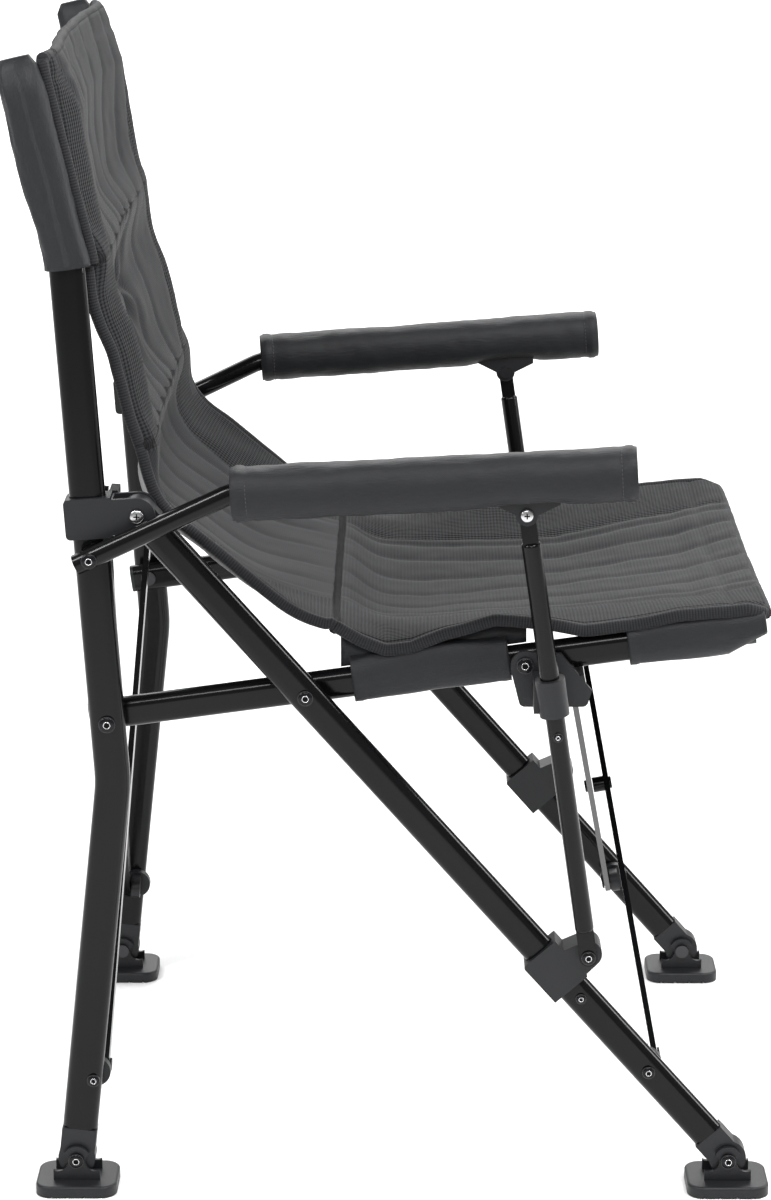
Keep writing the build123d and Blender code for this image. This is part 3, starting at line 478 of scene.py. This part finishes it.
def cover_piece(name, u_hi, u_lo, body, node, skin_of, main, ends, r=0.0050, extra=None):
    i0, i1 = row(u_hi), row(u_lo)
    verts, faces, uvs, fm, top, bottom = cover(i0, i1, skin_of)
    verts, faces, uvs, fm = with_tape((verts, faces, uvs, fm), top, bottom, ends=ends, r=r)
    # rolled seam allowance at each cut end, so a fold never shows an open edge
    for k, want in ((0, "start"), (-1, "end")):
        if want in ends:
            continue
        v, f, u = tube_along((top[k] + bottom[k]) / 2, 0.0058, 10)
        off = len(verts)
        verts, uvs, fm = verts + v, uvs + u, fm + [2] * len(f)
        faces = faces + [tuple(q + off for q in g) for g in f]
    if extra:
        v, f, u, m = extra(i0, i1)
        off = len(verts)
        verts, uvs, fm = verts + v, uvs + u, fm + m
        faces = faces + [tuple(q + off for q in g) for g in f]
    obj = build(name, verts, faces, uvs, [main, air_mesh, binding, plain], fm)
    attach(obj, body)
    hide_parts(node)
    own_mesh(obj)
    return obj


cover_piece("back_cover", 0.968, 0.803, "right_rear_frame", "back_panel", back_skin, twill, ("start",))
cover_piece("upper_sling_cover", 0.803, 0.647, "upper_sling_unit", "upper_sling", back_skin, twill, ())
cover_piece("lower_sling_cover", 0.647, 0.497, "lower_sling_unit", "lower_sling", back_skin, twill, ())
cover_piece("seat_cover", 0.497, U_FRONT, "right_rail_unit", "seat_panel", seat_skin, ribbed, ("end",), r=0.0054, extra=side_skirt)


# ------------------------------------------------------------------ sleeves and pads, both sides
def loft(name, sections, mats, fm_of, caps=True, uv_scale=1.0):
    """Closed loft of equal-length rings."""
    n, k = len(sections), len(sections[0])
    verts = [p for ring in sections for p in ring]
    mid = np.array([np.mean(ring, axis=0) for ring in sections])
    run = np.concatenate([[0], np.cumsum(np.linalg.norm(np.diff(mid, axis=0), axis=1))])
    uvs = []
    for i, ring in enumerate(sections):
        around = np.concatenate([[0], np.cumsum(np.linalg.norm(np.diff(np.array(ring), axis=0), axis=1))])
        uvs += [(a, run[i]) for a in around]
    faces, fm = [], []
    for i in range(n - 1):
        for j in range(k):
            j2 = (j + 1) % k
            faces.append((i * k + j, i * k + j2, (i + 1) * k + j2, (i + 1) * k + j))
            fm.append(fm_of(i, j))
    if caps:
        faces.append(tuple(range(k))[::-1]); fm.append(fm_of(0, 0))
        faces.append(tuple((n - 1) * k + j for j in range(k))); fm.append(fm_of(n - 2, 0))
    return build(name, verts, faces, uvs, mats, fm)


def superellipse(a, b, power, k=40):
    out = []
    for j in range(k):
        w = 2 * math.pi * j / k
        c, s = math.cos(w), math.sin(w)
        out.append((a * math.copysign(abs(c) ** (2 / power), c), b * math.copysign(abs(s) ** (2 / power), s)))
    return out


def arm_pad(side, sx):
    p0 = np.array([sx * 0.301, 0.138 + Y0, 0.6218])
    p1 = np.array([sx * 0.317, -0.190 + Y0, 0.643])
    axis = (p1 - p0) / np.linalg.norm(p1 - p0)
    length = np.linalg.norm(p1 - p0)
    across = np.array([1.0, 0, 0]) - axis * axis[0]
    across /= np.linalg.norm(across)
    up = np.cross(axis, across)
    if up[2] < 0:
        up = -up
    rings, n = [], 90
    stations = [0, 0.0, 0.0015, 0.004] + list(np.linspace(0.008, length - 0.008, n)) + [length - 0.004, length - 0.0015, length, length]
    inner = [True] + [False] * (len(stations) - 2) + [True]
    for t, inside in zip(stations, inner):
        c = p0 + axis * t
        a, b = 0.0222, 0.0222
        end = min(t, length - t)
        hem = 1.0 + 0.03 * math.exp(-((end - 0.006) / 0.004) ** 2) - 0.035 * math.exp(-((end - 0.013) / 0.0025) ** 2)
        a, b = a * hem, b * hem
        if end < 0.002:
            a, b = a * 0.96, b * 0.96
        if inside:
            a, b = 0.0100, 0.0100
        ring = []
        clip = math.exp(-((c[1] - (-0.1009 + Y0)) / 0.030) ** 4)
        for q, (x, z) in enumerate(superellipse(a, b, 2.3)):
            w = 0 if inside else 0.0011 * noise.noise(Vector((x * 60, t * 26, sx * 3))) + 0.0006 * noise.noise(Vector((x * 150, t * 90, z * 90)))
            f = 1 + w / 0.022
            zz = z * f
            if z < 0 and not inside:
                zz = z * f * (1 - 0.16 * clip)
            ring.append(c + across * x * f + up * zz)
        rings.append(ring)
    obj = loft(f"{side}_arm_pad_cover", rings, [pad_cloth], lambda i, j: 0)
    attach(obj, f"{side}_arm_unit")
    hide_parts(f"{side}_arm_pad")
    # row of stitches round each hem
    for tag, t in (("rear", 0.0125), ("front", length - 0.0125)):
        c = p0 + axis * t
        pts = []
        for x, z in superellipse(0.0217, 0.0217, 2.3, 96):
            pts.append(c + across * x + up * z)
        stitches(f"{side}_pad_stitch_{tag}", pts, f"{side}_arm_unit", closed=True)


def stitches(name, pts, body, closed=False, step=0.0034, gap=0.0012, r=0.00042, squash=False):
    pts = np.array(pts, float)
    if closed:
        pts = np.vstack([pts, pts[:1]])
    run = np.concatenate([[0], np.cumsum(np.linalg.norm(np.diff(pts, axis=0), axis=1))])
    verts, faces = [], []
    t = 0.0
    while t + step - gap < run[-1]:
        a = np.array([np.interp(t, run, pts[:, i]) for i in range(3)])
        b = np.array([np.interp(t + step - gap, run, pts[:, i]) for i in range(3)])
        v, f, _ = tube_along([a, (a + b) / 2, b], [r * 0.7, r, r * 0.7], 5)
        off = len(verts)
        verts += v
        faces += [tuple(i + off for i in q) for q in f]
        t += step
    obj = build(name, verts, faces, [(0, 0)] * len(verts), [thread], [0] * len(faces))
    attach(obj, body)
    if squash:
        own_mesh(obj)
    return obj


thread, _, _ = principled("thread", (0.035, 0.036, 0.040), 0.6)

RAIL_A = np.array([0.2466 + Y0, 0.418])
RAIL_D = np.array([-1.0, 0.1375]) / math.hypot(1, 0.1375)
RAIL_N = np.array([0.1375, 1.0]) / math.hypot(1, 0.1375)


def rail_sleeve(side, sx):
    # middle loop with a tab up to the seat
    def ring(t, top, low, half_w, twist, power=2.6, k=44):
        c = RAIL_A + RAIL_D * t
        out = []
        for x, z in superellipse(1, 1, power, k):
            zz = z * (top if z > 0 else low)
            xx = x * half_w
            w = 0.0012 * noise.noise(Vector((x * 2, t * 30, z * 2 + sx)))
            lean = twist * z
            p = c + RAIL_N * (zz + w)
            out.append((sx * (0.237 + xx * 1.0) + lean, p[0], p[1]))
        return out
    first, last = 0.207, 0.340
    rings = []
    for t in [first] * 2 + list(np.linspace(first + 0.002, last - 0.002, 34)) + [last] * 2:
        hem = 0.0006 if min(t - first, last - t) < 0.008 else 0.0
        lift = 0.0035 + 0.006 * math.sin(max(0, min(1, (t - first) / (last - first))) * math.pi)
        rings.append(ring(t, 0.0162 + hem + lift, 0.0164 + hem, 0.0112 + hem, 0.0))
    rings[0] = ring(first, 0.0135, 0.0135, 0.0085, 0.0)
    rings[-1] = ring(last, 0.0135, 0.0135, 0.0085, 0.0)
    mid = loft(f"{side}_rail_loop", rings, [plain], lambda i, j: 0)
    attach(mid, f"{side}_rail_unit")
    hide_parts(f"{side}_rail_sleeves")
    # front pocket over the rail's end
    first, last = 0.440, 0.556
    rings = []
    for t in [first] * 2 + list(np.linspace(first + 0.002, last, 36)):
        hem = 0.0008 if t - first < 0.008 else 0.0
        q = max(0.0, (t - first) / (last - first))
        low = 0.0165 + 0.002 * math.sin(q * 2.4) - 0.013 * max(0, q - 0.72) / 0.28
        top = 0.0175 + hem + 0.002 * math.sin(q * 3)
        rings.append(ring(t, top, low + hem, 0.0118 + hem, 0.0))
    rings[0] = ring(first, 0.0135, 0.0135, 0.0085, 0.0)
    rings.append(ring(last + 0.001, 0.0135, 0.004, 0.009, 0.0))
    front = loft(f"{side}_rail_pocket", rings, [plain], lambda i, j: 0)
    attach(front, f"{side}_rail_unit")


def back_sleeve(side, sx):
    line, _ = smooth_curve([(271.5, 801), (272.3, 808), (283, 850), (296, 905), (309, 962)], 60, 1)
    line = line / 1000.0
    tan = np.gradient(line, axis=0)
    tan /= np.linalg.norm(tan, axis=1)[:, None]
    nrm = np.stack([tan[:, 1], -tan[:, 0]], 1)          # rearward
    rings = []
    n = len(line)
    def ring(i, rear, frontw, half_w, amp=1.0, k=44):
        out = []
        for x, z in superellipse(1, 1, 2.4, k):
            d = z * (rear if z > 0 else frontw)
            w = amp * (0.0016 * noise.noise(Vector((x * 1.5, line[i][1] * 24, z * 1.6 + sx * 2))) + 0.0008 * noise.noise(Vector((x * 4, line[i][1] * 70, z * 4))))
            y, zz = line[i][0] + nrm[i][0] * (d + w) + Y0, line[i][1] + nrm[i][1] * (d + w)
            out.append((sx * (0.261 + x * (half_w + w)), y, zz))
        return out
    rings.append(ring(0, 0.0155, 0.0155, 0.0095, 0))
    for i in range(n):
        q = i / (n - 1)
        top = max(0.0, (q - 0.80) / 0.20)
        rear = 0.0180 - 0.0012 * math.sin(q * 9) + 0.0015 * top
        frontw = 0.0185
        rings.append(ring(i, rear * (1 - 0.12 * top ** 3), frontw * (1 - 0.10 * top ** 3), 0.0135 * (1 - 0.35 * top ** 3)))
    last = ring(n - 1, 0.012, 0.012, 0.006, 0)
    last = [(p[0], p[1] + 0.001, p[2] + 0.0085) for p in last]
    rings.append(last)
    obj = loft(f"{side}_back_sleeve_cover", rings, [plain], lambda i, j: 0)
    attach(obj, f"{side}_rear_frame")
    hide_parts(f"{side}_back_sleeve")
    # ribbed binding down the front edge of the sleeve
    pts = [(sx * 0.2525, line[i][0] - nrm[i][0] * 0.0195 + Y0, line[i][1] - nrm[i][1] * 0.0195) for i in range(n)]
    v, f, u = tube_along(pts, 0.0054, 10)
    tape = build(f"{side}_back_tape", v, f, u, [binding], [0] * len(f))
    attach(tape, f"{side}_rear_frame")


for side, sx in (("right", -1.0), ("left", 1.0)):
    arm_pad(side, sx)
    rail_sleeve(side, sx)
    back_sleeve(side, sx)

# ------------------------------------------------------------------ heads of screws and rivets
def islands(me):
    bm = bmesh.new()
    bm.from_mesh(me)
    bmesh.ops.remove_doubles(bm, verts=bm.verts, dist=1e-6)
    seen, out = set(), []
    for v in bm.verts:
        if v.index in seen:
            continue
        stack, part = [v], []
        seen.add(v.index)
        while stack:
            q = stack.pop()
            part.append(q.co.copy())
            for e in q.link_edges:
                o = e.other_vert(q)
                if o.index not in seen:
                    seen.add(o.index)
                    stack.append(o)
        out.append(np.array(part))
    bm.free()
    return out


def dome(c, r, h, sx, seg=28, rings=6):
    verts, faces = [], []
    for k in range(rings):
        a = k / (rings - 1) * math.pi / 2
        for j in range(seg):
            w = 2 * math.pi * j / seg
            verts.append((c[0] + sx * h * math.sin(a), c[1] + r * max(0.02, math.cos(a)) * math.cos(w), c[2] + r * max(0.02, math.cos(a)) * math.sin(w)))
    for k in range(rings - 1):
        for j in range(seg):
            j2 = (j + 1) % seg
            faces.append((k * seg + j, k * seg + j2, (k + 1) * seg + j2, (k + 1) * seg + j))
    faces.append(tuple((rings - 1) * seg + j for j in range(seg)))
    faces.append(tuple(range(seg))[::-1])
    return verts, faces


def ring_at(c, r, tube_r, sx, seg=28):
    verts, faces = [], []
    for j in range(seg):
        w = 2 * math.pi * j / seg
        for k in range(8):
            q = 2 * math.pi * k / 8
            rr = r + tube_r * math.cos(q)
            verts.append((c[0] + sx * tube_r * math.sin(q), c[1] + rr * math.cos(w), c[2] + rr * math.sin(w)))
    for j in range(seg):
        for k in range(8):
            a, b = j * 8 + k, j * 8 + (k + 1) % 8
            c2, d = ((j + 1) % seg) * 8 + (k + 1) % 8, ((j + 1) % seg) * 8 + k
            faces.append((a, b, c2, d))
    return verts, faces


def cross_at(c, size, sx):
    verts, faces = [], []
    for dy, dz in ((size, size * 0.22), (size * 0.22, size)):
        off = len(verts)
        for x in (-0.0006, 0.0003):
            for y, z in ((-dy, -dz), (dy, -dz), (dy, dz), (-dy, dz)):
                verts.append((c[0] + sx * x, c[1] + y, c[2] + z))
        for f in ((0, 1, 2, 3), (7, 6, 5, 4), (0, 4, 5, 1), (1, 5, 6, 2), (2, 6, 7, 3), (3, 7, 4, 0)):
            faces.append(tuple(off + q for q in f))
    return verts, faces


body_of = {n: b for b, ns in frame["record"]["behaviour"]["bodies"].items() for n in ns}
for name, obj in list(frame["nodes"].items()):
    if slot_of.get(name) != "fasteners":
        continue
    sx = 1.0 if name.startswith("left") else -1.0
    verts, faces, fm = [], [], []
    for part in islands(obj.data):
        out = part[np.argmax(part[:, 0] * sx), 0]
        cap = part[np.abs(part[:, 0] - out) < 2e-5]
        if len(cap) < 8:
            continue
        c = (out, (cap[:, 1].min() + cap[:, 1].max()) / 2, (cap[:, 2].min() + cap[:, 2].max()) / 2)
        r = (cap[:, 1].max() - cap[:, 1].min()) / 2
        if not 0.003 < r < 0.009:
            continue
        pieces = [(dome(c, r * 0.93, 0.0012, sx), 0)]
        tip = (c[0] + sx * 0.0012, c[1], c[2])
        if "screw" in name or "upper_pins" in name:
            pieces[0] = (dome(c, r * 0.93, 0.0012, sx), 1)
            # the dark cross is painted shade for the phillips recess; it is a thin raised block, not a cut hole
            pieces.append((cross_at(tip, r * 0.42, sx), 2))
        else:
            pieces.append((ring_at(tip, r * 0.40, 0.00042, sx), 1))
            # the near-black disc at the rivet's centre is painted shade for its hollow
            pieces.append((dome((tip[0], tip[1], tip[2]), r * 0.30, 0.0001, sx), 2))
        for (v, f), m in pieces:
            off = len(verts)
            verts += v
            faces += [tuple(q + off for q in g) for g in f]
            fm += [m] * len(f)
    if verts:
        head = build(f"{name}_heads", verts, faces, [(0, 0)] * len(verts), [black_rivet, steel, recess_painted_shade], fm)
        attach(head, body_of[name])

# ------------------------------------------------------------------ stage
floor_mat, _, _ = principled("floor", (0.92, 0.92, 0.92), 0.7, 0.1)
bpy.ops.mesh.primitive_plane_add(size=30, location=(4, 0, -0.0005))
floor = bpy.context.object
floor.name = "floor"
floor.data.materials.append(floor_mat)
world = bpy.data.worlds.new("studio")
scene.world = world
world.use_nodes = True
world.node_tree.nodes["Background"].inputs[0].default_value = (1, 1, 1, 1)
world.node_tree.nodes["Background"].inputs[1].default_value = 0.34
for name, loc, size, power, aim in (
    ("key", (-1.5, -1.3, 2.9), (1.6, 0.35), 75, (0, 0, 0.5)),
    ("rear", (-1.3, 1.9, 2.3), (0.35, 1.6), 55, (0, 0, 0.5)),
    ("fill", (-3.2, 0.3, 2.6), (1.4, 0.5), 40, (0, 0, 0.55)),
    ("front", (0.3, -2.4, 1.4), (0.6, 1.6), 40, (0, 0, 0.5)),
    ("backdrop", (9.0, 0, 5.0), (11.0, 11.0), 1500, (9.0, 0, 0)),
):
    lamp = bpy.data.lights.new(name, "AREA")
    lamp.shape = "RECTANGLE"
    lamp.size, lamp.size_y = size
    lamp.energy = power
    o = bpy.data.objects.new(name, lamp)
    scene.collection.objects.link(o)
    o.location = loc
    o.rotation_mode = "QUATERNION"
    o.rotation_quaternion = (Vector(aim) - Vector(loc)).to_track_quat("-Z", "Y")
scene.view_settings.view_transform = "Standard"
